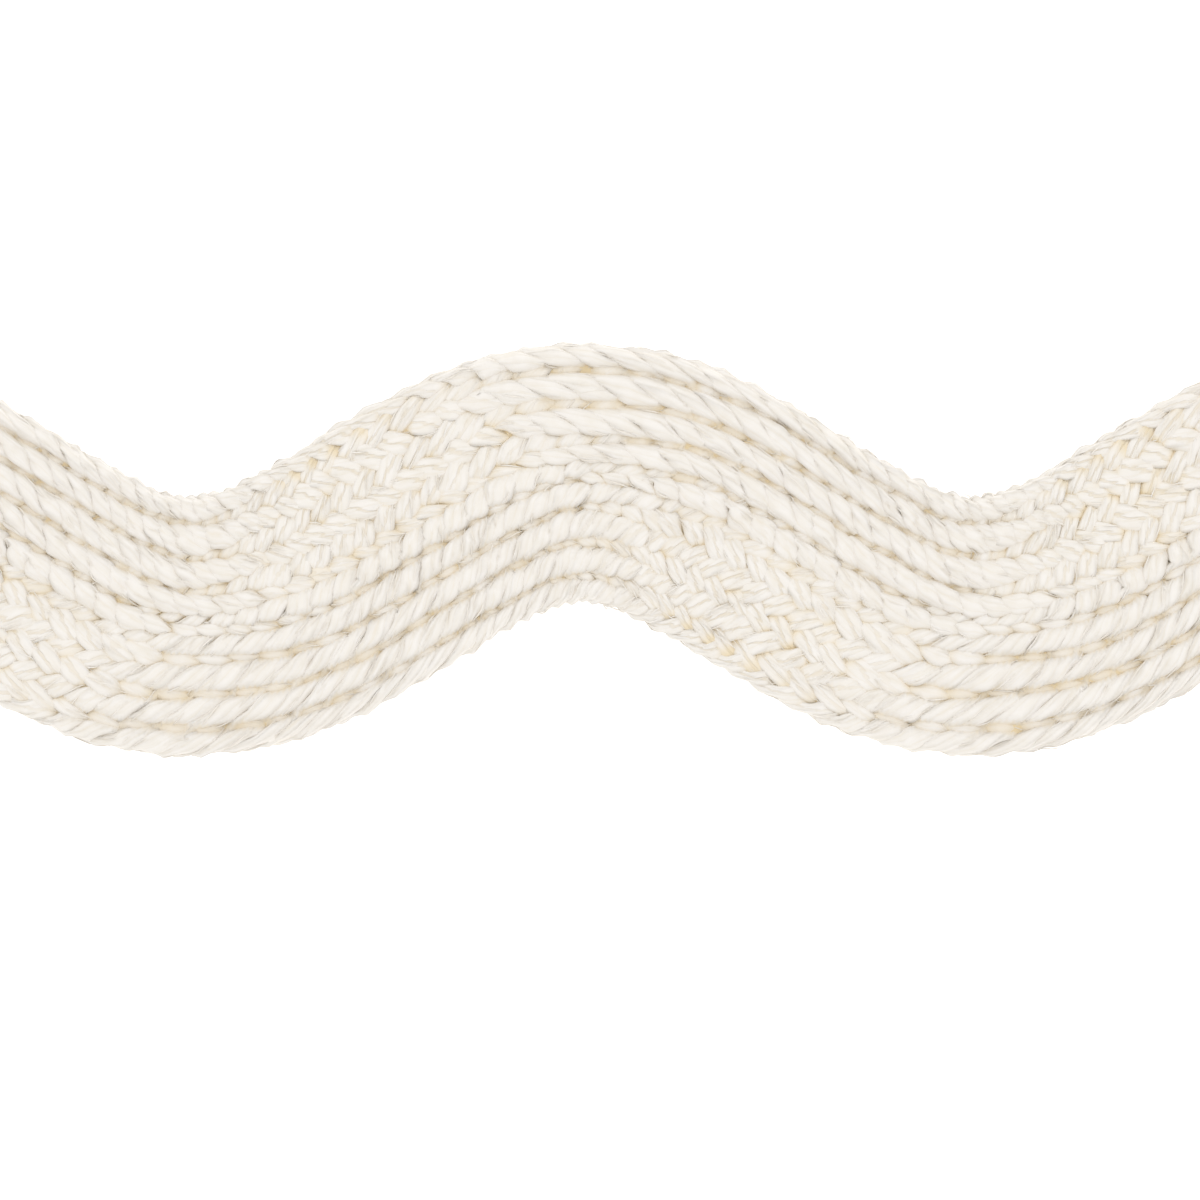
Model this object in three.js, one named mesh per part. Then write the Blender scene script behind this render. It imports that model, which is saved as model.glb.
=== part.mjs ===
// A cut length of jumbo ric rac lying flat: one flat-braided cotton trimming whose two edges
// swing together in even waves. Units are millimetres, +X runs along the length, +Y across the
// waves and +Z up. The underside lies on z = 0, the origin is under the middle of the length,
// and both ends are cut square to the braid at the top of a wave.
import * as THREE from 'three';

// Driving dimensions
const REPEAT = 71.2;            // one full wave, crest to crest
const REPEATS = 2;              // waves in the cut length
const WAVE_HEIGHT = 6.95;       // how far the middle line swings to each side
const BRAID_WIDTH = 23.8;       // across the braid, square to its own direction
const THICKNESS = 2.6;          // underside to the top of a rib
const GROOVE_DEPTH = 0.5;       // rib top to the groove beside it
const STITCH_DIP = 0.16;        // how far a rib sinks between two floats
const STITCH = 2.36;            // along the braid, from one float to the next
const YARNS = 33;               // yarns in the flat braid
const RIBS = 8;                 // lengthwise columns of floats on the face
const TIGHT_PITCH = 6.2;        // spacing of the crossings where the braid is beaten tight
const LOOSE_PITCH = 13;         // and where it opens, in the same parts of the width
const CHANGE_AT = 20;           // the crossing at which tight passes into loose
const CHANGE_OVER = 1.6;        // crossings over which it passes
const HAND_OVER = 2.4;          // how briskly tight and loose change sides at a crest
const EDGE_ROUND = 0.55;        // how far the selvedge bulges past the flat underside
const EDGE_HEIGHT = 1.1;        // height at which the selvedge is widest
const SHOULDER = 0.4;           // from the selvedge's widest point in to its upper shoulder
const SHOULDER_HEIGHT = 1.9;
const IVORY = 0xe9e2d3;

const WAVE_NUMBER = (2 * Math.PI) / REPEAT;
const HALF_LENGTH = (REPEAT * REPEATS) / 2;
const FLOATS_APART = 4;         // crossings from one column of floats to the next
const FIRST_FLOAT = 1.5;        // the crossing under the middle of the first column

// The middle line is a cosine with a crest at x = 0; its normal points to the upper edge.
const middleAt = (x) => WAVE_HEIGHT * Math.cos(WAVE_NUMBER * x);
const slopeAt = (x) => -WAVE_HEIGHT * WAVE_NUMBER * Math.sin(WAVE_NUMBER * x);

// Stations along X that are evenly spaced along the middle line, two for each float.
function stations() {
  const fine = 4000;
  const along = [0];
  const step = (2 * HALF_LENGTH) / fine;
  for (let i = 1; i <= fine; i += 1) {
    const x = -HALF_LENGTH + (i - 0.5) * step;
    along.push(along[i - 1] + step * Math.hypot(1, slopeAt(x)));
  }
  const total = along[fine];
  const count = 2 * Math.round(total / STITCH);
  const found = [];
  let i = 0;
  for (let k = 0; k <= count; k += 1) {
    const target = (total * k) / count;
    while (i < fine - 1 && along[i + 1] < target) i += 1;
    const part = (target - along[i]) / (along[i + 1] - along[i]);
    found.push(-HALF_LENGTH + (i + part) * step);
  }
  found[0] = -HALF_LENGTH;
  found[count] = HALF_LENGTH;
  return found;
}

// Where crossing c lies across the width, from 0 at the lower edge to 1 at the upper one, when
// the tight side is the lower one: the sum of a pitch that passes from tight to loose.
function packed(c) {
  const area = (t) => {
    const eased = CHANGE_OVER * Math.log(1 + Math.exp((t - CHANGE_AT) / CHANGE_OVER));
    return TIGHT_PITCH * t + (LOOSE_PITCH - TIGHT_PITCH) * eased;
  };
  return (area(c) - area(0)) / (area(YARNS) - area(0));
}

// The tight side is the lower one on each rising stretch and the upper one on each falling
// stretch, and the two change places around the crests and valleys.
function acrossAt(c, x) {
  const side = Math.tanh(HAND_OVER * Math.sin(-WAVE_NUMBER * x)) / Math.tanh(HAND_OVER);
  const low = packed(c);
  const high = 1 - packed(YARNS - c);
  return BRAID_WIDTH * (0.5 * (1 + side) * low + 0.5 * (1 - side) * high - 0.5);
}

// One cross-section, as [across, height] pairs that start at the lower edge of the flat
// underside and go round over the ribs to its upper edge.
function section(x, beat) {
  const half = BRAID_WIDTH / 2;
  const points = [[-half + EDGE_ROUND, 0], [-half, EDGE_HEIGHT], [-half + SHOULDER, SHOULDER_HEIGHT]];
  for (let rib = 0; rib < RIBS; rib += 1) {
    const c = FIRST_FLOAT + rib * FLOATS_APART;
    const dip = (beat + rib) % 2 ? STITCH_DIP : 0;
    points.push([acrossAt(c, x), THICKNESS - dip]);
    if (rib < RIBS - 1) points.push([acrossAt(c + FLOATS_APART / 2, x), THICKNESS - GROOVE_DEPTH]);
  }
  points.push([half - SHOULDER, SHOULDER_HEIGHT], [half, EDGE_HEIGHT], [half - EDGE_ROUND, 0]);
  return points;
}

// The braid is that section carried along the wave, closed by a flat cut at each end.
function braidGeometry() {
  const xs = stations();
  const positions = [];
  const indices = [];
  xs.forEach((x, beat) => {
    const slope = slopeAt(x);
    const long = Math.hypot(1, slope);
    for (const [across, height] of section(x, beat)) {
      positions.push(x - (across * slope) / long, middleAt(x) + across / long, height);
    }
  });
  const ring = positions.length / 3 / xs.length;
  for (let i = 0; i < xs.length - 1; i += 1) {
    for (let j = 0; j < ring; j += 1) {
      const a = i * ring + j;
      const b = i * ring + ((j + 1) % ring);
      indices.push(a, a + ring, b, b, a + ring, b + ring);
    }
  }
  const ends = [[0, -HALF_LENGTH, 1], [(xs.length - 1) * ring, HALF_LENGTH, -1]];
  for (const [first, x, turn] of ends) {
    const hub = positions.length / 3;
    positions.push(x, middleAt(x), EDGE_HEIGHT);
    for (let j = 0; j < ring; j += 1) {
      const a = first + j;
      const b = first + ((j + 1) % ring);
      indices.push(hub, turn > 0 ? a : b, turn > 0 ? b : a);
    }
  }
  const geometry = new THREE.BufferGeometry();
  geometry.setAttribute('position', new THREE.Float32BufferAttribute(positions, 3));
  geometry.setIndex(indices);
  geometry.computeVertexNormals();
  return geometry;
}

function cottonBraid() {
  const cotton = new THREE.MeshStandardMaterial({ color: IVORY, roughness: 0.92, metalness: 0 });
  const braid = new THREE.Mesh(braidGeometry(), cotton);
  braid.name = 'ric_rac_braid';
  return braid;
}

const ricRac = new THREE.Group();
ricRac.add(cottonBraid());

export default ricRac;
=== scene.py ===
"""A cut length of wide ivory ric rac braid, lying flat: every yarn of the plait is modelled.

The braid is a flat plait of 33 cotton yarns. A yarn climbs across the braid, turns at the upper
edge, comes down again and turns at the lower edge, and at each crossing it passes over or under
by a two-over-two rule. Its place is worked out in lattice units: the station, in steps of one
stitch along the braid, and the crossing number, from 0 at the lower edge to 33 at the upper one.
Each side of the braid is tight on every other slope of the wave, and there its slack yarns line
up as ropes; elsewhere the plait is open, like a basket. Lengths are millimetres here and metres
in the meshes. +X runs along the braid and +Z up.
"""

import bpy
import numpy as np
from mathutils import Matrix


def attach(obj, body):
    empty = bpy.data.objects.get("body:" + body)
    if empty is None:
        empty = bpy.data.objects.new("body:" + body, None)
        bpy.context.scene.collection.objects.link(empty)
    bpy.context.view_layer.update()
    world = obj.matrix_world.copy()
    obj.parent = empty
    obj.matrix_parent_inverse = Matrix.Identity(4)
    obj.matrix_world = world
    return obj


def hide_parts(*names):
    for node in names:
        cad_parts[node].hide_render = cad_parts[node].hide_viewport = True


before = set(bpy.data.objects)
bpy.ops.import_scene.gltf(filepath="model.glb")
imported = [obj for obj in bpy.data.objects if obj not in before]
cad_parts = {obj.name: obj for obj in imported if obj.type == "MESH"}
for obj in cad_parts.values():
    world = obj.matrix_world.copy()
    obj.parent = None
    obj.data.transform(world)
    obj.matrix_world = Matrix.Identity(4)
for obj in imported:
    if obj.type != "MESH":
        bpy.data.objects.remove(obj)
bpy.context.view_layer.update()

MM = 0.001

# The wave that the braid lies in
REPEAT = 71.2
REPEATS = 2
WAVE_HEIGHT = 6.95            # of a crest of the middle line above its mean
BRAID_WIDTH = 23.8
HALF_LENGTH = REPEAT * REPEATS / 2
WAVE_NUMBER = 2 * np.pi / REPEAT

# The plait
YARNS = 33
STITCH = 2.36
MIDDLE_HEIGHT = 1.48          # the middle plane of the plait above the floor
TIGHT_PITCH = 6.2             # spacing of crossings at the tight side, in hundredths of the width
LOOSE_PITCH = 9.2             # and at the open side
CHANGE_AT = 20.0              # the crossing at which tight passes into open
CHANGE_OVER = 1.6
EDGE_AT = 30.5                # from here to the open edge the crossings draw together again
EDGE_OVER = 0.6
EDGE_DRAW = 1.2
SETS_IN = 4.0                 # the tight side sets in this far before an apex, along x
LETS_GO = 6.5                 # and lets go this far past the next one
HAND_OVER = 2.2               # the length over which it does
LEAN_OVER = 5.0               # the length over which the rows lean over
EDGE_EARLY = 9.0              # at its own edge it sets in this much sooner
EDGE_LATE = 5.0               # and lets go this much later
EDGE_FAR = 11.0               # fading out over this many crossings
TIGHT_LEAN = -0.24            # how far a row leans along the braid for each crossing, tight side
LOOSE_LEAN = -0.32            # and open side
TURN_ROUND = 1.6              # how widely a yarn turns at an edge, in crossings
TURN_INSET = 0.75             # and how far from the edge, in crossings
TURN_OVER = 2.0               # crossings over which a yarn comes away from its turn
# How much the stitches spread along an edge from its tightest point on, as the shares of the
# first four harmonics of the wave
SPREAD = (0.44, 0.0775, 0.1, 0.1175)

# The yarns' paths
ROUND_TRIP = 2 * YARNS        # crossings from a turn at the lower edge to the next one there
ROUND_TRIPS = 4               # as many as carry each yarn past both cut ends
RINGS_PER_CROSSING = 5
FLOAT_MIDDLE = 1.5            # the crossing at the middle of a rising yarn's first upper float
GAP_OPEN = 0.50               # height between the middles of two yarns that cross, open side
GAP_TIGHT = 0.72              # and tight side
SQUARE_TIGHT = 2.8            # how squarely a yarn rises and dives, tight side
SQUARE_OPEN = 2.2             # and open side
SLACK_SWING_TIGHT = 0.18      # how much more than half of the height the slack yarns swing through
SLACK_SWING_OPEN = -0.06
SLACK_LONGER_TIGHT = 0.54     # how much longer their floats are on the upper face
SLACK_LONGER_OPEN = -0.30
RISEN = 0.08                  # the slack yarns lie this much higher on the tight side
SINKS = 0.25                  # and the open part this much nearer the floor
HALVES_OVER = 1.5             # crossings over which one half's slack yarns pass into the other's
SLANTED_TIGHT = 0.55          # how fully the floats end along the braid, tight side
SLANTED_OPEN = 0.00           # and open side
SLANT_MOST = 1.0              # and by how many crossings at most
SLANT_FROM_EDGE = 3           # crossings from an edge over which they come to do so
LEAST_ROOM = 0.35             # neighbours count as no closer than this
LEAST_SPEED = 1e-9            # and a yarn past the tables' ends, which stands still, as moving so
# How far a yarn wanders off its even course: by how much, the crossings from one knot of the
# wander to the next, and the number that seeds it
HEIGHT_WANDER = (0.08, 3.1, 1)
STATION_WANDER = (0.12, 2.6, 2)
CROSSING_WANDER = (0.14, 2.9, 3)
WIDTH_WANDER = (0.16, 1.9, 4)
THICKNESS_WANDER = (0.10, 2.1, 5)
FLOAT_WANDER = (0.16, 3.3, 6)
WANDER_KNOTS = 400

# The yarns' sections
EDGE_YARN = 1.35              # width of a yarn where it turns at an edge
EDGE_INSET = 0.05             # its middle line turns this far inside the edge
NARROWEST = 0.85
WIDEST = 2.4
# Width of the slack yarns and of the taut ones, as a share of the room between neighbours, and
# their thickness, each on the open and on the tight side
SLACK_OPEN = (1.36, 0.88)
SLACK_TIGHT = (1.68, 1.30)
TAUT_OPEN = (1.46, 0.86)
TAUT_TIGHT = (1.55, 0.82)
SWELL_TIGHT = 0.28            # how much a yarn swells at the middle of a float, tight side
SWELL_OPEN = 0.00             # and open side
BOXY = 0.92                   # power of the sine and cosine of a section: 1 is an ellipse
PLIES = 8
POINTS_PER_PLY = 2
PLY_GROOVE = 0.10             # depth of the groove between plies, as a share of the yarn
PLY_TURN = -13.0              # crossings for one turn of the plies, which turn to the left
PLY_START = 0.37              # turns by which each yarn's plies start ahead of the last one's
PLY_UNEVEN = 0.20             # how unevenly the plies stand out
PLY_PERIOD = 1.3              # crossings from one knot of that unevenness to the next
PLY_KNOTS = 800
PLY_SEED = 9
CLEFT = 0.30                  # depth of the cleft along an open yarn's middle, as a share of its half
CLEFT_WIDTH = 0.30            # and its width, as a share of half the yarn's
CUT_CLEAR = 0.02              # a ring nearer a cut end than this is left out
CUT_STEP = 0.25               # crossings from the last ring to the cut, for the material
YARNS_PER_PIECE = 6
SEED = 20

# The painted-shade sheet inside the plait: an ochre sheet that stands in for the shade in the gaps
# between the yarns; the real braid has no such sheet
SHEET_INSET = 1.5             # it ends this far within the braid's edge
SHEET_END_INSET = 0.3         # and within its cut ends
SHEET_HALF_TIGHT = 0.30       # half its thickness, tight side
SHEET_HALF_OPEN = 0.14        # and open side
SHEET_ROWS = 241
SHEET_COLUMNS = 45

# The loose fibres
FIBRE_RINGS = 6
FIBRE_SIDES = 3
FIBRES_PER_CROSSING = 2.0
FIBRE_REACH = 4.0             # they start at least this far from the cut ends
FIBRE_LENGTH = (0.8, 1.9)     # least and most, in crossings
FIBRE_DRIFT = 0.7             # how far one drifts round the yarn at most, in radians
FIBRE_CLEAR = 0.22            # how far one stands clear of the yarn at most
FIBRE_SUNK = 0.02             # and how far its ends are sunk into it
FIBRE_ON = 0.97               # the share of the yarn's radius that it lies on
FIBRE_THICK = (0.03, 0.08)    # radius at its middle, least and most
FIBRE_TAPER = 0.08            # share of a half wave that is cut off each end of its taper
FIBRE_SEED = 11

# Where a yarn takes ochre painted shade, for the shade low in the plait between the yarns
SHADE_BAND_TIGHT = (0.17, 0.50)   # near this height above the middle plane, and within this much of it
SHADE_BAND_OPEN = (0.20, 0.30)
SHADE_FROM_EDGE = 1          # crossings from an edge where the ochre painted shade begins
SHADE_EDGE_OVER = 3          # and over which it comes to its full
SEAM_AT = 2.8                 # the seam of ochre painted shade inside an open edge, in crossings from the edge
SEAM_WIDTH = 0.42
SEAM_SHARE = 0.9              # how strongly the seam is painted with ochre shade
SEAM_BELOW = 0.78             # only below this height above the middle plane
SEAM_FADE = 0.25

# Colours, linear
FIBRE_LIGHT = (0.76, 0.73, 0.692)
FIBRE_DARK = (0.738, 0.702, 0.647)
# painted shade: the ochre of the shade low in the plait, for the yarns and for the sheet inside it
PAINTED_SHADE_OCHRE = (0.72, 0.60, 0.40)
SHEEN_TINT = (1.0, 0.93, 0.82)
WHITE = (1, 1, 1)
# What a colour is multiplied by in the darker patches of uneven tone, and the painted shade in the
# grooves between the plies and in the clefts
MOTTLE = (0.975, 0.967, 0.95)
GROOVE_PAINTED_SHADE = (0.98, 0.962, 0.925)
CLEFT_PAINTED_SHADE = (0.93, 0.885, 0.80)

# The yarn's fine pattern
YARN_SHIFT = 7.3              # how far each yarn's pattern is shifted from the last one's
FIBRE_SHIFT = 3.7             # and that of its loose fibres
GRAIN_STRETCH = (0.5, 1.7, 1.7)
GRAIN_SCALE = 1.6
GRAIN_RAMP = (0.3, 0.62)      # the values of the grain at which it is dark and light
MOTTLE_SCALE = 700
MOTTLE_RAMP = (0.34, 0.60)
GROOVE_FADES = 0.4            # share of a ply's crest at which the groove's painted shade is gone
GROOVE_WANDER = 3.0           # how far the grooves wander with the grain
GROOVE_DEEP = 0.35            # their depth in the bump, where the grain's is 1
CLEFT_LINE = 0.17             # half the width of the line in the cleft, as a share of half the yarn
CLEFT_WANDER = 0.9            # how far it wanders across the yarn with the grain
CLEFT_DEEP = 1.2              # its depth in the bump, where the grain's is 1
BUMP_DEPTH = 0.08

# The view: straight down on this point, wide enough to see this much of the braid
LOOK_AT = (1.6, -4.6)
SEEN = 109.1

# The studio, in metres
FLOOR_HALF = 3.0
LAMP_AT = (0.05, 0.55, 0.6)
LAMP_TILT = (-0.72, 0, 0)


def middle(x):
    """The braid's middle line: y = WAVE_HEIGHT cos(kx), with a crest at x = 0."""
    return WAVE_HEIGHT * np.cos(WAVE_NUMBER * x)


def middle_slope(x):
    """The slope of the middle line: its derivative, -WAVE_HEIGHT k sin(kx)."""
    return -WAVE_HEIGHT * WAVE_NUMBER * np.sin(WAVE_NUMBER * x)


# Arc length along the middle line, by short chords, from 0 at the crest at x = 0
FINE_REACH = 1.6 * HALF_LENGTH
FINE_POINTS = 8001
FINE_X = np.linspace(-FINE_REACH, FINE_REACH, FINE_POINTS)
FINE_S = np.concatenate([[0], np.cumsum(np.hypot(np.diff(FINE_X), np.diff(middle(FINE_X))))])
FINE_S -= np.interp(0, FINE_X, FINE_S)
ARC_REPEAT = np.interp(REPEAT, FINE_X, FINE_S)


def x_at(s):
    """The x of the point at arc length s along the middle line."""
    return np.interp(s, FINE_S, FINE_X)


def place(s, v):
    """The point at arc length s and distance v to the left of the middle line, v along its normal."""
    x = x_at(s)
    slope = middle_slope(x)
    long = np.hypot(1, slope)
    return x - v * slope / long, middle(x) + v / long


def s_curve(t):
    """The logistic curve 1 / (1 + e^-t), which rises from 0 to 1 about t = 0."""
    return 1 / (1 + np.exp(-t))


def mixed(a, b, share):
    """A straight mix: a at share 0 and b at share 1."""
    return a + (b - a) * share


# The grid of the lattice tables: arc length along the braid and crossings across it
TABLE_ROWS = 2001
STEPS_PER_CROSSING = 40
JUST_SHORT = 1.001            # a little more than one step from the end
TABLE_S = np.linspace(FINE_S[0], FINE_S[-1], TABLE_ROWS)
TABLE_C = np.linspace(0, YARNS, STEPS_PER_CROSSING * YARNS + 1)


def tightness(s, side, c, over=HAND_OVER):
    """How tightly the lower side (1) or the upper side (-1) is beaten, from 0 to 1: on the lower
    side it sets in a little before a valley and lets go at the crest, and the upper side does the
    same half a wave later. A product of two steep s-curves of the distance from the apexes. Near
    its own edge a tight side begins earlier and runs on further."""
    near = np.clip(1 - (c if side > 0 else YARNS - c) / EDGE_FAR, 0, 1)
    sets_in = SETS_IN + EDGE_EARLY * near
    start = -sets_in - (REPEAT / 2 if side > 0 else 0)
    reach = REPEAT / 2 + sets_in + LETS_GO + EDGE_LATE * near
    slack = (REPEAT - reach) / 2
    x = np.mod(x_at(s) - start + slack, REPEAT) - slack
    return s_curve(x / over) * s_curve((reach - x) / over)


def both_sides(over):
    """The tightness of the lower and of the upper side over the whole grid."""
    return (tightness(TABLE_S[:, None], side, TABLE_C[None, :], over) for side in (1, -1))


def running_sum(rate):
    """The integral of a rate over the crossings, by trapezoids, from 0 at the lower edge."""
    total = np.cumsum((rate[:, 1:] + rate[:, :-1]) * (TABLE_C[1] - TABLE_C[0]) / 2, 1)
    return np.concatenate([np.zeros((len(total), 1)), total], 1)


def tables():
    """Two tables over arc length and crossing: the crossing's place across the braid from 0 to 1,
    which is the summed pitch, and how far it leans along the braid."""
    opening = s_curve((TABLE_C - CHANGE_AT) / CHANGE_OVER)
    edge_pull = EDGE_DRAW * s_curve((TABLE_C - EDGE_AT) / EDGE_OVER)
    low, high = both_sides(HAND_OVER)
    tight = low * (1 - opening) + high * (1 - opening[::-1])
    edges = (1 - low) * edge_pull[::-1] + (1 - high) * edge_pull
    across = running_sum(LOOSE_PITCH + (TIGHT_PITCH - LOOSE_PITCH) * (tight + edges))
    lean = mixed(LOOSE_LEAN, TIGHT_LEAN, 1 - opening)
    low_leans, high_leans = both_sides(LEAN_OVER)
    leaning = running_sum(lean * low_leans - lean[::-1] * high_leans)
    return across / across[:, -1:], leaning - leaning.mean(1, keepdims=True)


ACROSS_TABLE, LEAN_TABLE = tables()


def looked_up(table, s, c):
    """The table's value at arc length s and crossing c, between its rows and columns, and held
    just short of the last ones, so that a next one is always there."""
    row = np.clip((s - TABLE_S[0]) / (TABLE_S[1] - TABLE_S[0]), 0, len(TABLE_S) - JUST_SHORT)
    col = np.clip(c / (TABLE_C[1] - TABLE_C[0]), 0, len(TABLE_C) - JUST_SHORT)
    i, j = row.astype(int), col.astype(int)
    upper = mixed(table[i, j], table[i, j + 1], col - j)
    lower = mixed(table[i + 1, j], table[i + 1, j + 1], col - j)
    return mixed(upper, lower, row - i)


def looseness(c, s):
    """0 in a tight side of the braid and 1 in its open part: 1 less the tightness of each side,
    which ends at CHANGE_AT crossings from that side's edge."""
    low = tightness(s, 1, c) * s_curve((CHANGE_AT - c) / CHANGE_OVER)
    high = tightness(s, -1, c) * s_curve((CHANGE_AT - YARNS + c) / CHANGE_OVER)
    return np.clip(1 - low - high, 0, 1)


def slack_side(c, s):
    """1 where the rising yarns are the slack ones and -1 where the falling ones are: over the
    whole width on a stretch, and each on its own half where both sides are tight."""
    low, high = tightness(s, 1, c), tightness(s, -1, c)
    upper_half = s_curve((c - YARNS / 2) / HALVES_OVER)
    return low * (1 - high * upper_half) - high * (1 - low * (1 - upper_half))


def eased(knots, at):
    """The value between two knots, or between two rows of knots, by a cosine ease."""
    low = np.floor(at).astype(int)
    ease = 0.5 - 0.5 * np.cos(np.pi * (at - low))
    if knots.ndim == 2:
        ease = ease[:, None]
    return mixed(knots[low], knots[low + 1], ease)


def drift(number, t, wander):
    """A smooth wander along a yarn, up to its size to either side: seeded random knots, one every
    period crossings, joined by a cosine ease."""
    size, period, seed = wander
    knots = np.random.default_rng([SEED, number, seed]).uniform(-1, 1, WANDER_KNOTS)
    return size * eased(knots, (t - t[0]) / period)


def float_angle(c):
    """A quarter turn for each crossing, from 0 at the middle of a rising yarn's upper float."""
    return np.pi / 2 * (c - FLOAT_MIDDLE)


def float_wave(c, direction, longer, square):
    """Above and below by turns, two crossings each: a cosine of the float angle, upside down for
    a falling yarn, raised so that the upper floats are longer than the lower ones, and squared
    off through a tanh so that a float lies flat."""
    return np.tanh(square * (direction * np.cos(float_angle(c)) + longer))


def spread(s, v):
    """How far a stitch at arc length s and distance v moves along the braid, so that the stitches
    are less crowded at the inside of each bend: a sum of sines that grows with v squared."""
    phase = 2 * np.pi * s / ARC_REPEAT + np.pi * (v > 0)
    waves = sum(share * np.sin(n * phase) / n for n, share in enumerate(SPREAD, 1))
    return (2 * v / BRAID_WIDTH) ** 2 * waves * ARC_REPEAT / (2 * np.pi)


def lattice(station, c):
    """Where crossing c of a station lies on the floor plan: the tables' lean and place across the
    braid, moved by the spread and laid along the wave."""
    s = STITCH * station
    s = s + looked_up(LEAN_TABLE, s, c)
    v = (2 * looked_up(ACROSS_TABLE, s, c) - 1) * (BRAID_WIDTH / 2 - EDGE_INSET)
    return place(s + spread(s, v), v)


def room(number, t, c):
    """The distance between neighbouring yarns, square to them, and the slant of the crossings:
    how many crossings one gains for each millimetre square to the yarn, on the line along the
    braid that joins the same crossing of the neighbours."""
    here, ahead = (np.stack(lattice(number + n + t / 2, c), 1) for n in (0, 1))
    along = np.gradient(here, t, axis=0)
    speed = np.maximum(np.linalg.norm(along, axis=1), LEAST_SPEED)
    along /= speed[:, None]
    step = ahead - here
    square_to = step[:, 1] * along[:, 0] - step[:, 0] * along[:, 1]
    square_to = np.where(square_to < 0, -1.0, 1.0) * np.maximum(np.abs(square_to), LEAST_ROOM)
    return np.abs(square_to), -(step * along).sum(1) / square_to / speed


def yarn_line(number):
    """The middle line of one yarn, and at each ring its width and thickness, the crossings gone,
    how open the plait is, the crossings to the nearer edge and the slant of the crossings.

    The crossing number runs up and down between 0 and 33 as a triangle wave with rounded turns,
    and the station grows by half a stitch for each crossing. Rising, the yarn is above where the
    float wave is positive, and falling, where it is negative. Its width is a share of the room
    between neighbours, and it swells with the square of the float wave's cosine.
    """
    rings = ROUND_TRIPS * ROUND_TRIP * RINGS_PER_CROSSING
    t = -ROUND_TRIPS / 2 * ROUND_TRIP + np.arange(rings + 1) / RINGS_PER_CROSSING
    phase = np.mod(t, ROUND_TRIP)
    from_turn = np.minimum(np.minimum(phase, ROUND_TRIP - phase), np.abs(phase - YARNS))
    inward = np.clip(from_turn / TURN_OVER, 0, 1)
    rising = phase < YARNS
    direction = np.where(rising, 1.0, -1.0)
    triangle = np.where(rising, phase, ROUND_TRIP - phase)
    rounded = np.hypot(from_turn, TURN_ROUND) - from_turn
    rounded = rounded - (TURN_ROUND - TURN_INSET) * (1 - 2 * from_turn / YARNS)
    c = np.where(triangle < YARNS / 2, triangle + rounded, triangle - rounded)

    s = STITCH * (number + t / 2)
    loose = looseness(c, s)
    slack = direction * slack_side(c, s) * inward
    apart, slant = room(number, t, c)
    slant = slant * np.clip(from_turn / SLANT_FROM_EDGE, 0, 1) * mixed(SLANTED_TIGHT, SLANTED_OPEN, loose)

    taut_size = (mixed(tight, opened, loose) for tight, opened in zip(TAUT_TIGHT, TAUT_OPEN))
    slack_size = (mixed(tight, opened, loose) for tight, opened in zip(SLACK_TIGHT, SLACK_OPEN))
    cover, thick = (mixed(*sizes, 0.5 + 0.5 * slack) for sizes in zip(taut_size, slack_size))
    swell = mixed(SWELL_TIGHT, SWELL_OPEN, loose) * (np.cos(float_angle(triangle)) ** 2 - 0.5)
    width = np.clip(cover * apart, mixed(EDGE_YARN, NARROWEST, inward), WIDEST) * (1 + swell)
    width = width * (1 + drift(number, t, WIDTH_WANDER))
    thick = thick * (1 + swell) * (1 + drift(number, t, THICKNESS_WANDER))

    share = 0.5 + mixed(SLACK_SWING_TIGHT, SLACK_SWING_OPEN, loose) * slack
    longer = mixed(SLACK_LONGER_TIGHT, SLACK_LONGER_OPEN, loose) * slack
    square = mixed(SQUARE_TIGHT, SQUARE_OPEN, loose)
    floated = np.clip(triangle, 1, YARNS - 1) + drift(number, t, FLOAT_WANDER)
    swing = float_wave(floated, direction, longer, square)
    swing = swing * np.clip(from_turn, 0, 1) * mixed(GAP_TIGHT, GAP_OPEN, loose) * share
    z = MIDDLE_HEIGHT - SINKS * loose + RISEN * (1 - loose) * slack + swing
    z = z + drift(number, t, HEIGHT_WANDER)

    station = number + drift(number, t, STATION_WANDER) + t / 2
    x, y = lattice(station, c + drift(number, t, CROSSING_WANDER))
    line = np.stack([x, y, z], 1)
    return line, width, thick, t, loose, np.minimum(triangle, YARNS - triangle), slant


def directions(line):
    """At each point of a line, the unit directions along it, level and square to it, and square
    to both."""
    tangent = np.gradient(line, axis=0)
    tangent /= np.linalg.norm(tangent, axis=1)[:, None]
    flat_side = np.stack([-tangent[:, 1], tangent[:, 0], np.zeros(len(line))], 1)
    flat_side /= np.linalg.norm(flat_side, axis=1)[:, None]
    return tangent, flat_side, np.cross(tangent, flat_side)


def shifted_height(t, z, at, aside, slant):
    """How much higher the yarn is at a point this far aside of its middle line than at the
    middle itself: a float ends along the braid, not square to the yarn, so the height is read
    off as many crossings further on as the slant says."""
    return np.interp(at + np.clip(aside * slant, -SLANT_MOST, SLANT_MOST), t, z) - np.interp(at, t, z)


def painted_shade_share(depth, loose, from_edge):
    """How much ochre painted shade a point of a yarn takes, from 0 to 1, for the shade low in the
    plait: within a band of heights a little above the middle plane, fading out at the braid's
    edges, and along the seam inside each open edge."""
    at, within = (mixed(tight, opened, loose) for tight, opened in zip(SHADE_BAND_TIGHT, SHADE_BAND_OPEN))
    inner = np.clip((from_edge - SHADE_FROM_EDGE) / SHADE_EDGE_OVER, 0, 1)
    band = np.clip(1 - np.abs(depth - at) / within, 0, 1) * inner
    seam = np.exp(-((from_edge - SEAM_AT) / SEAM_WIDTH) ** 2) * loose * SEAM_SHARE
    return np.maximum(band, seam * np.clip((SEAM_BELOW - depth) / SEAM_FADE, 0, 1))


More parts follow.
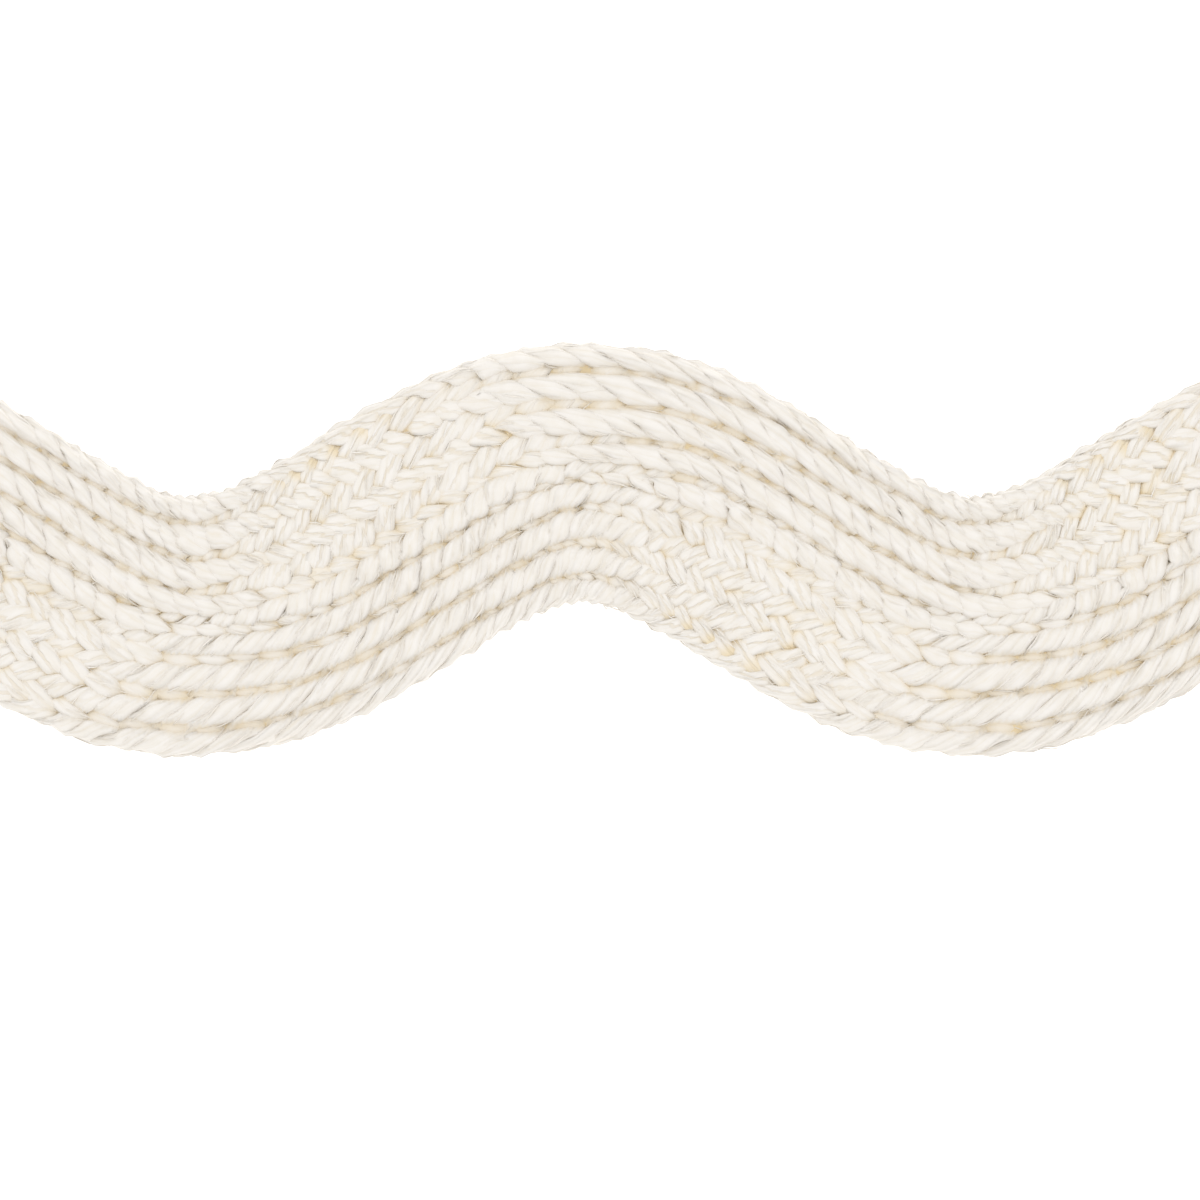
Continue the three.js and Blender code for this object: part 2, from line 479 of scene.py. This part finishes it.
def ply_drift(number, t):
    """How far each ply stands out of its yarn, between about -1 and 1: seeded random knots for
    each ply, eased along the yarn."""
    knots = np.random.default_rng([SEED, number, PLY_SEED]).uniform(-1, 1, (PLY_KNOTS, PLIES))
    return eased(np.repeat(knots, POINTS_PER_PLY, 1), (t - t[0]) / PLY_PERIOD)


def squared(wave):
    """A sine or cosine raised to a power below one, which makes an ellipse a little boxy."""
    return np.sign(wave) * np.abs(wave) ** BOXY


def tube_faces(rows, points):
    """The quads of a tube of so many rings, and the triangles that close its two ends as fans
    about the two points that follow the rings."""
    i, j = np.meshgrid(np.arange(rows - 1), np.arange(points), indexing="ij")
    k = (j + 1) % points
    quads = np.stack([i * points + j, (i + 1) * points + j, (i + 1) * points + k, i * points + k], -1)
    around = np.arange(points)
    ahead = (around + 1) % points
    hub = rows * points
    last = (rows - 1) * points
    head = np.stack([np.full(points, hub), around, ahead], 1)
    tail = np.stack([np.full(points, hub + 1), last + ahead, last + around], 1)
    return quads.reshape(-1, 4)[:, ::-1], np.concatenate([head[:, ::-1], tail[:, ::-1]])


def cut_square(ring, tangent):
    """A yarn's rings with one more at each end: the end ring slid level along the yarn on to the
    plane of the braid's cut end."""
    level = tangent[[0, -1]] * (1, 1, 0) / tangent[[0, -1], :1]
    head = ring[0] + level[0] * (-HALF_LENGTH - ring[0][:, :1])
    tail = ring[-1] + level[1] * (HALF_LENGTH - ring[-1][:, :1])
    return np.concatenate([head[None], ring, tail[None]])


def yarn_mesh(number):
    """One yarn: a ring of lobed points carried along its line.

    The ring is an ellipse of the yarn's width and thickness, made a little boxy. Its radius dips
    at each groove between the plies, which turn slowly round the yarn, and its height dips in the
    cleft along an open yarn's middle by a bell curve of the place across it. A point aside of the
    middle line is raised or lowered as shifted_height says. Each end is cut square and closed.

    With the points and faces come three attributes: lay is the place along the yarn and the
    cosine and sine of the place among the plies, painted_shade is how much ochre painted shade a
    point takes, and strand is the place across the yarn from -1 to 1 and how tight the plait is.
    """
    line, width, thick, t, loose, from_edge, slant = yarn_line(number)
    tangent, flat_side, up = directions(line)
    points = PLIES * POINTS_PER_PLY
    lobe = np.arange(points) * 2 * np.pi / points
    dip = 1 - PLY_GROOVE * (1 - np.abs(np.sin(PLIES * lobe / 2)))
    dip = dip[None, :] * (1 + PLY_UNEVEN * ply_drift(number, t))
    twist = 2 * np.pi * (t / PLY_TURN + number * PLY_START)
    angle = lobe[None, :] + twist[:, None]
    cleft = 1 - CLEFT * loose[:, None] * np.exp(-(np.cos(angle) / CLEFT_WIDTH) ** 2)
    aside = squared(np.cos(angle)) * dip * width[:, None] / 2
    risen = squared(np.sin(angle)) * dip * cleft * thick[:, None] / 2
    ring = (line[:, None, :] + aside[:, :, None] * flat_side[:, None, :]
            + risen[:, :, None] * up[:, None, :])
    ring[:, :, 2] += shifted_height(t, line[:, 2], t[:, None], aside, slant[:, None])
    tight = np.broadcast_to(1 - loose[:, None], angle.shape)
    strand = np.stack([np.cos(angle), tight, np.zeros(angle.shape)], -1)

    clear = np.flatnonzero(np.abs(ring[:, :, 0]).max(1) < HALF_LENGTH - CUT_CLEAR)
    kept = np.arange(clear[0], clear[-1] + 1)
    ends_twice = np.r_[kept[0], kept, kept[-1]]
    ring = cut_square(ring[kept], tangent[kept])
    loose, from_edge = loose[ends_twice, None], from_edge[ends_twice, None]
    strand = strand[ends_twice].reshape(-1, 3)
    t = t[ends_twice]
    t[[0, -1]] += (-CUT_STEP, CUT_STEP)

    along = np.broadcast_to(t[:, None] + YARN_SHIFT * number, ring.shape[:2])
    lay = np.stack(np.broadcast_arrays(along, np.cos(lobe), np.sin(lobe)), -1).reshape(-1, 3)
    # painted shade: how much ochre each point takes for lying low in the plait
    painted_shade = painted_shade_share(ring[:, :, 2] - MIDDLE_HEIGHT + SINKS * loose, loose, from_edge)
    quads, caps = tube_faces(len(ring), points)
    verts = np.concatenate([ring.reshape(-1, 3), ring[[0, -1]].mean(1)])
    lay = np.concatenate([lay, [[along[0, 0], 0, 0], [along[-1, 0], 0, 0]]])
    painted_shade = np.concatenate([painted_shade.ravel(), [0, 0]])
    strand = np.concatenate([strand, [[1, 1, 0], [1, 1, 0]]])
    return verts, quads, caps, lay, painted_shade, strand


NO_TRIANGLES = np.zeros((0, 3), int)


def mesh_object(name, verts, quads, tris, attributes=()):
    """An object at the origin whose mesh has these points, in millimetres, and faces."""
    mesh = bpy.data.meshes.new(name)
    loops = np.concatenate([quads.ravel(), tris.ravel()]).astype(np.int32)
    starts = np.concatenate([np.arange(len(quads)) * 4, len(quads) * 4 + np.arange(len(tris)) * 3])
    mesh.vertices.add(len(verts))
    mesh.vertices.foreach_set("co", (verts * MM).astype(np.float32).ravel())
    mesh.loops.add(len(loops))
    mesh.loops.foreach_set("vertex_index", loops)
    mesh.polygons.add(len(starts))
    mesh.polygons.foreach_set("loop_start", starts.astype(np.int32))
    mesh.update(calc_edges=True)
    mesh.polygons.foreach_set("use_smooth", np.ones(len(starts), bool))
    for label, values in attributes:
        form, key = ("FLOAT", "value") if values.ndim == 1 else ("FLOAT_VECTOR", "vector")
        layer = mesh.attributes.new(label, form, "POINT")
        layer.data.foreach_set(key, values.astype(np.float32).ravel())
    mesh.validate()
    thing = bpy.data.objects.new(name, mesh)
    bpy.context.scene.collection.objects.link(thing)
    return thing


def yarn_piece(name, numbers, material):
    """Several yarns as one mesh."""
    parts = [yarn_mesh(number) for number in numbers]
    offsets = np.cumsum([0] + [len(part[0]) for part in parts[:-1]])
    verts, lay, painted_shade, strand = (np.concatenate([part[n] for part in parts]) for n in (0, 3, 4, 5))
    quads, tris = (
        np.concatenate([part[n] + offset for part, offset in zip(parts, offsets)]) for n in (1, 2))
    attributes = [("lay", lay), ("painted_shade", painted_shade), ("strand", strand)]
    piece = mesh_object(name, verts, quads, tris, attributes)
    piece.data.materials.append(material)
    return piece


def read_at(values, at):
    """The values of a yarn's rings at fractional ring numbers, between one ring and the next."""
    low = np.clip(at.astype(int), 0, len(values) - 2)
    part = at - low
    if values.ndim == 2:
        part = part[..., None]
    return mixed(values[low], values[low + 1], part)


def stray_fibres(name, numbers, material):
    """Loose fibres on the floats of several yarns, flat-shaded because they are so thin.

    Each is a thin three-sided tube along its yarn. Its place round the yarn's section turns with
    the plies from a seeded random angle, and drifts off them in proportion to its length. It
    stands a little clear of the yarn in the middle, and it is thickest there, each by a sine of
    its length. The material reads it as the crest of a ply with no cleft, so it takes little of
    the grooves' painted shade, none of the cleft's and none of the ochre painted shade.
    """
    verts, quads, lay = [], [], []
    offset = 0
    steps = np.linspace(0, 1, FIBRE_RINGS)
    taper = np.sin(np.pi * (FIBRE_TAPER + (1 - 2 * FIBRE_TAPER) * steps))
    side = np.arange(FIBRE_SIDES) * 2 * np.pi / FIBRE_SIDES
    tube, _ = tube_faces(FIBRE_RINGS, FIBRE_SIDES)
    for number in numbers:
        line, width, thick, t, _, _, slant = yarn_line(number)
        _, flat_side, up = directions(line)
        inside = np.flatnonzero(np.abs(line[:, 0]) < HALF_LENGTH - FIBRE_REACH)
        rng = np.random.default_rng([SEED, number, FIBRE_SEED])
        count = int(len(inside) / RINGS_PER_CROSSING * FIBRES_PER_CROSSING)
        start = rng.uniform(inside[0], inside[-1], count)[:, None]
        length = rng.uniform(*FIBRE_LENGTH, count)[:, None] * RINGS_PER_CROSSING
        at = start + length * steps
        angle = rng.uniform(0, 2 * np.pi, count)[:, None]
        angle = angle + rng.uniform(-FIBRE_DRIFT, FIBRE_DRIFT, count)[:, None] * steps
        angle = angle + 2 * np.pi * at / RINGS_PER_CROSSING / PLY_TURN
        clear = rng.uniform(0.0, FIBRE_CLEAR, count)[:, None] * np.sin(np.pi * steps) - FIBRE_SUNK
        radius = rng.uniform(*FIBRE_THICK, count)[:, None] * taper

        aside = squared(np.cos(angle)) * (read_at(width, at) / 2 * FIBRE_ON + clear)
        risen = squared(np.sin(angle)) * (read_at(thick, at) / 2 * FIBRE_ON + clear)
        across, above = read_at(flat_side, at), read_at(up, at)
        course = read_at(line, at) + aside[..., None] * across + risen[..., None] * above
        course[..., 2] += shifted_height(t, line[:, 2], read_at(t, at), aside, read_at(slant, at))
        ring = (course[:, :, None, :]
                + (radius[..., None] * np.cos(side))[..., None] * across[:, :, None, :]
                + (radius[..., None] * np.sin(side))[..., None] * above[:, :, None, :])
        verts.append(ring.reshape(-1, 3))
        base = offset + np.arange(count) * FIBRE_RINGS * FIBRE_SIDES
        quads.append((tube[None] + base[:, None, None]).reshape(-1, 4))
        offset += count * FIBRE_RINGS * FIBRE_SIDES
        along = np.repeat(at.ravel() / RINGS_PER_CROSSING + FIBRE_SHIFT * number, FIBRE_SIDES)
        crest = np.cos(np.pi / PLIES), np.sin(np.pi / PLIES)
        lay.append(np.stack(np.broadcast_arrays(along, *crest), 1))
    attributes = [("lay", np.concatenate(lay)), ("painted_shade", np.zeros(offset)),
                  ("strand", np.ones((offset, 3)))]
    piece = mesh_object(name, np.concatenate(verts), np.concatenate(quads), NO_TRIANGLES, attributes)
    piece.data.shade_flat()
    piece.data.materials.append(material)
    return piece


def painted_shade_sheet(material):
    """A sheet of painted shade inside the plait, which stands in for the shade in the gaps between
    the yarns: a thin flat sheet of the braid's outline at its middle height, a little narrower than
    the braid, closed round its rim. A grid over the arc length and the crossings, once at the top
    of its thickness and once at the bottom."""
    stations = np.linspace(-HALF_LENGTH + SHEET_END_INSET, HALF_LENGTH - SHEET_END_INSET, SHEET_ROWS)
    crossings = np.linspace(0, YARNS, SHEET_COLUMNS)
    s, c = np.meshgrid(np.interp(stations, FINE_X, FINE_S), crossings, indexing="ij")
    across = (2 * looked_up(ACROSS_TABLE, s, c) - 1) * (BRAID_WIDTH / 2 - SHEET_INSET)
    x, y = place(s, across)
    loose = looseness(c, s)
    level = MIDDLE_HEIGHT - SINKS * loose
    half_thick = mixed(SHEET_HALF_TIGHT, SHEET_HALF_OPEN, loose)
    top = np.stack([x, y, level + half_thick], -1).reshape(-1, 3)
    bottom = np.stack([x, y, level - half_thick], -1).reshape(-1, 3)
    rows, cols = s.shape
    i, j = np.meshgrid(np.arange(rows - 1), np.arange(cols - 1), indexing="ij")
    corner = (i * cols + j).ravel()
    upper = np.stack([corner, corner + cols, corner + cols + 1, corner + 1], 1)
    lower = upper[:, ::-1] + rows * cols
    rim = np.concatenate([np.arange(rows) * cols, (rows - 1) * cols + np.arange(1, cols),
                          np.arange(rows - 2, -1, -1) * cols + cols - 1, np.arange(cols - 2, 0, -1)])
    ahead = np.roll(rim, -1)
    wall = np.stack([rim, rim + rows * cols, ahead + rows * cols, ahead], 1)
    thing = mesh_object("painted_shade_plait_sheet", np.concatenate([top, bottom]),
                        np.concatenate([upper, lower, wall]), NO_TRIANGLES)
    thing.data.materials.append(material)
    return thing


def plain_cotton(name, colour):
    """Matt cotton of one colour, for the painted-shade sheet inside the plait."""
    material = bpy.data.materials.new(name)
    material.use_nodes = True
    shader = material.node_tree.nodes["Principled BSDF"]
    shader.inputs["Base Color"].default_value = (*colour, 1)
    shader.inputs["Roughness"].default_value = 0.95
    shader.inputs["Specular IOR Level"].default_value = 0.1
    return material


def maths(nodes, links, operation, *values):
    """The output of a Math node whose inputs are these sockets and numbers."""
    node = nodes.new("ShaderNodeMath")
    node.operation = operation
    for socket, value in zip(node.inputs, values):
        if isinstance(value, bpy.types.NodeSocket):
            links.new(value, socket)
        else:
            socket.default_value = value
    return node.outputs[0]


def noise(nodes, links, vector, scale, detail):
    """A noise texture read at a vector."""
    node = nodes.new("ShaderNodeTexNoise")
    node.inputs["Scale"].default_value = scale
    node.inputs["Detail"].default_value = detail
    links.new(vector, node.inputs["Vector"])
    return node.outputs["Fac"]


def ramp(nodes, links, share, positions, colours):
    """A colour that passes from one to another between two values of a share."""
    node = nodes.new("ShaderNodeValToRGB")
    for stop, position, colour in zip(node.color_ramp.elements, positions, colours):
        stop.position = position
        stop.color = (*colour, 1)
    links.new(share, node.inputs["Fac"])
    return node.outputs["Color"]


def multiplied(nodes, links, colour, tint):
    """One colour multiplied by another."""
    node = nodes.new("ShaderNodeMix")
    node.data_type = "RGBA"
    node.blend_type = "MULTIPLY"
    node.inputs["Factor"].default_value = 1
    links.new(colour, node.inputs["A"])
    links.new(tint, node.inputs["B"])
    return node.outputs["Result"]


def attribute(nodes, name):
    """The node that reads one of the mesh's attributes."""
    node = nodes.new("ShaderNodeAttribute")
    node.attribute_name = name
    return node


def plies_seen(nodes, links, vector, wander):
    """A socket that is 0 in the grooves between the plies and 1 on their crests: the size of the
    sine of half the angle round the yarn, times the number of plies, which wanders with a noise."""
    parts = nodes.new("ShaderNodeSeparateXYZ")
    links.new(vector, parts.inputs[0])
    angle = maths(nodes, links, "ARCTAN2", parts.outputs["Z"], parts.outputs["Y"])
    shift = maths(nodes, links, "MULTIPLY", wander, GROOVE_WANDER)
    turned = maths(nodes, links, "MULTIPLY_ADD", angle, PLIES / 2, shift)
    return maths(nodes, links, "ABSOLUTE", maths(nodes, links, "SINE", turned))


def cleft_seen(nodes, links, wander):
    """A socket that is 0 in the cleft along an open yarn's middle and 1 away from it: the size of
    the place across the yarn, moved by a noise, eased over the cleft's width, and 1 all over
    where the yarn is tight."""
    parts = nodes.new("ShaderNodeSeparateXYZ")
    links.new(attribute(nodes, "strand").outputs["Vector"], parts.inputs[0])
    moved = maths(nodes, links, "MULTIPLY_ADD", wander, CLEFT_WANDER, parts.outputs["X"])
    centred = maths(nodes, links, "SUBTRACT", moved, CLEFT_WANDER / 2)
    eased_over = nodes.new("ShaderNodeMapRange")
    eased_over.interpolation_type = "SMOOTHSTEP"
    eased_over.inputs["From Max"].default_value = CLEFT_LINE
    links.new(maths(nodes, links, "ABSOLUTE", centred), eased_over.inputs["Value"])
    return maths(nodes, links, "MAXIMUM", eased_over.outputs["Result"], parts.outputs["Y"])


def ivory_yarn(name):
    """Soft ivory cotton: fibres run along the yarn as a fine grain in colour and bump, the yarn
    is a little uneven in tone, the grooves between the plies and the cleft of an open yarn are a
    little lower in the bump and darker by painted shade, and it takes ochre painted shade where it
    lies low in the plait."""
    material = bpy.data.materials.new(name)
    material.use_nodes = True
    nodes, links = material.node_tree.nodes, material.node_tree.links
    shader = nodes["Principled BSDF"]
    shader.inputs["Roughness"].default_value = 0.92
    shader.inputs["Specular IOR Level"].default_value = 0.05
    shader.inputs["Sheen Weight"].default_value = 0.2
    shader.inputs["Sheen Roughness"].default_value = 0.6
    shader.inputs["Sheen Tint"].default_value = (*SHEEN_TINT, 1)

    lay = attribute(nodes, "lay").outputs["Vector"]
    stretch = nodes.new("ShaderNodeVectorMath")
    stretch.operation = "MULTIPLY"
    stretch.inputs[1].default_value = GRAIN_STRETCH
    links.new(lay, stretch.inputs[0])
    grain = noise(nodes, links, stretch.outputs[0], GRAIN_SCALE, 2)
    patches = noise(nodes, links, nodes.new("ShaderNodeTexCoord").outputs["Object"], MOTTLE_SCALE, 3)
    crests = plies_seen(nodes, links, lay, grain)
    apart = cleft_seen(nodes, links, grain)

    colour = ramp(nodes, links, grain, GRAIN_RAMP, (FIBRE_DARK, FIBRE_LIGHT))
    shade = ramp(nodes, links, patches, MOTTLE_RAMP, (MOTTLE, WHITE))
    colour = multiplied(nodes, links, colour, shade)
    # painted shade: the grooves between the plies are darkened
    groove = ramp(nodes, links, crests, (0, GROOVE_FADES), (GROOVE_PAINTED_SHADE, WHITE))
    colour = multiplied(nodes, links, colour, groove)
    # painted shade: the cleft along an open yarn's middle is darkened
    cleft = ramp(nodes, links, apart, (0, 1), (CLEFT_PAINTED_SHADE, WHITE))
    colour = multiplied(nodes, links, colour, cleft)
    # painted shade: ochre where the yarn lies low in the plait
    ochre_shade_mix = nodes.new("ShaderNodeMix")
    ochre_shade_mix.data_type = "RGBA"
    ochre_shade_mix.inputs["B"].default_value = (*PAINTED_SHADE_OCHRE, 1)
    links.new(attribute(nodes, "painted_shade").outputs["Fac"], ochre_shade_mix.inputs["Factor"])
    links.new(colour, ochre_shade_mix.inputs["A"])
    links.new(ochre_shade_mix.outputs["Result"], shader.inputs["Base Color"])

    height = maths(nodes, links, "MULTIPLY_ADD", crests, GROOVE_DEEP, grain)
    height = maths(nodes, links, "MULTIPLY_ADD", apart, CLEFT_DEEP, height)
    bump = nodes.new("ShaderNodeBump")
    bump.inputs["Strength"].default_value = 0.65
    bump.inputs["Distance"].default_value = BUMP_DEPTH * MM
    links.new(height, bump.inputs["Height"])
    links.new(bump.outputs["Normal"], shader.inputs["Normal"])
    return material


def camera():
    """Straight above the photograph's middle, far enough to show 109 mm of braid."""
    data = bpy.data.cameras.new("camera")
    data.lens = 100
    data.sensor_width = 36
    data.clip_start = 0.01
    distance = data.lens * SEEN / data.sensor_width
    thing = bpy.data.objects.new("camera", data)
    thing.location = (LOOK_AT[0] * MM, LOOK_AT[1] * MM, (distance + MIDDLE_HEIGHT) * MM)
    bpy.context.scene.collection.objects.link(thing)
    bpy.context.scene.camera = thing


def studio():
    """A white paper floor that glows a little, an even white sky, and one soft lamp beyond the
    braid's upper edge."""
    floor = bpy.data.meshes.new("floor")
    corners = [(-1, -1), (1, -1), (1, 1), (-1, 1)]
    floor.from_pydata([(x * FLOOR_HALF, y * FLOOR_HALF, 0) for x, y in corners], [], [(0, 1, 2, 3)])
    thing = bpy.data.objects.new("floor", floor)
    bpy.context.scene.collection.objects.link(thing)
    paper = bpy.data.materials.new("white_paper")
    paper.use_nodes = True
    shader = paper.node_tree.nodes["Principled BSDF"]
    shader.inputs["Base Color"].default_value = (0.97, 0.97, 0.97, 1)
    shader.inputs["Roughness"].default_value = 0.9
    shader.inputs["Emission Color"].default_value = (1, 1, 1, 1)
    shader.inputs["Emission Strength"].default_value = 0.35
    floor.materials.append(paper)
    world = bpy.data.worlds.new("studio")
    bpy.context.scene.world = world
    world.use_nodes = True
    world.node_tree.nodes["Background"].inputs["Color"].default_value = (1, 1, 1, 1)
    world.node_tree.nodes["Background"].inputs["Strength"].default_value = 1.22
    lamp = bpy.data.lights.new("soft_box", "AREA")
    lamp.energy = 0.5
    lamp.size = 0.6
    box = bpy.data.objects.new("soft_box", lamp)
    box.location = LAMP_AT
    box.rotation_euler = LAMP_TILT
    bpy.context.scene.collection.objects.link(box)


camera()
studio()
bpy.context.scene.view_settings.view_transform = "Standard"
yarn_cotton = ivory_yarn("ivory_cotton_yarn")
# painted shade: an ochre sheet inside the plait stands in for the shade in the gaps between the yarns
painted_shade_cotton = plain_cotton("ochre_painted_shade_cotton", PAINTED_SHADE_OCHRE)
inside = painted_shade_sheet(painted_shade_cotton)
pieces = []
for start in range(0, YARNS, YARNS_PER_PIECE):
    numbers = range(start, min(start + YARNS_PER_PIECE, YARNS))
    pieces.append(yarn_piece(f"braid_yarns_{start // YARNS_PER_PIECE + 1}", numbers, yarn_cotton))
first_half = (YARNS + 1) // 2
for half, numbers in enumerate((range(0, first_half), range(first_half, YARNS))):
    pieces.append(stray_fibres(f"stray_fibres_{half + 1}", numbers, yarn_cotton))
for piece in [inside, *pieces]:
    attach(piece, "root")
    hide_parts("ric_rac_braid")
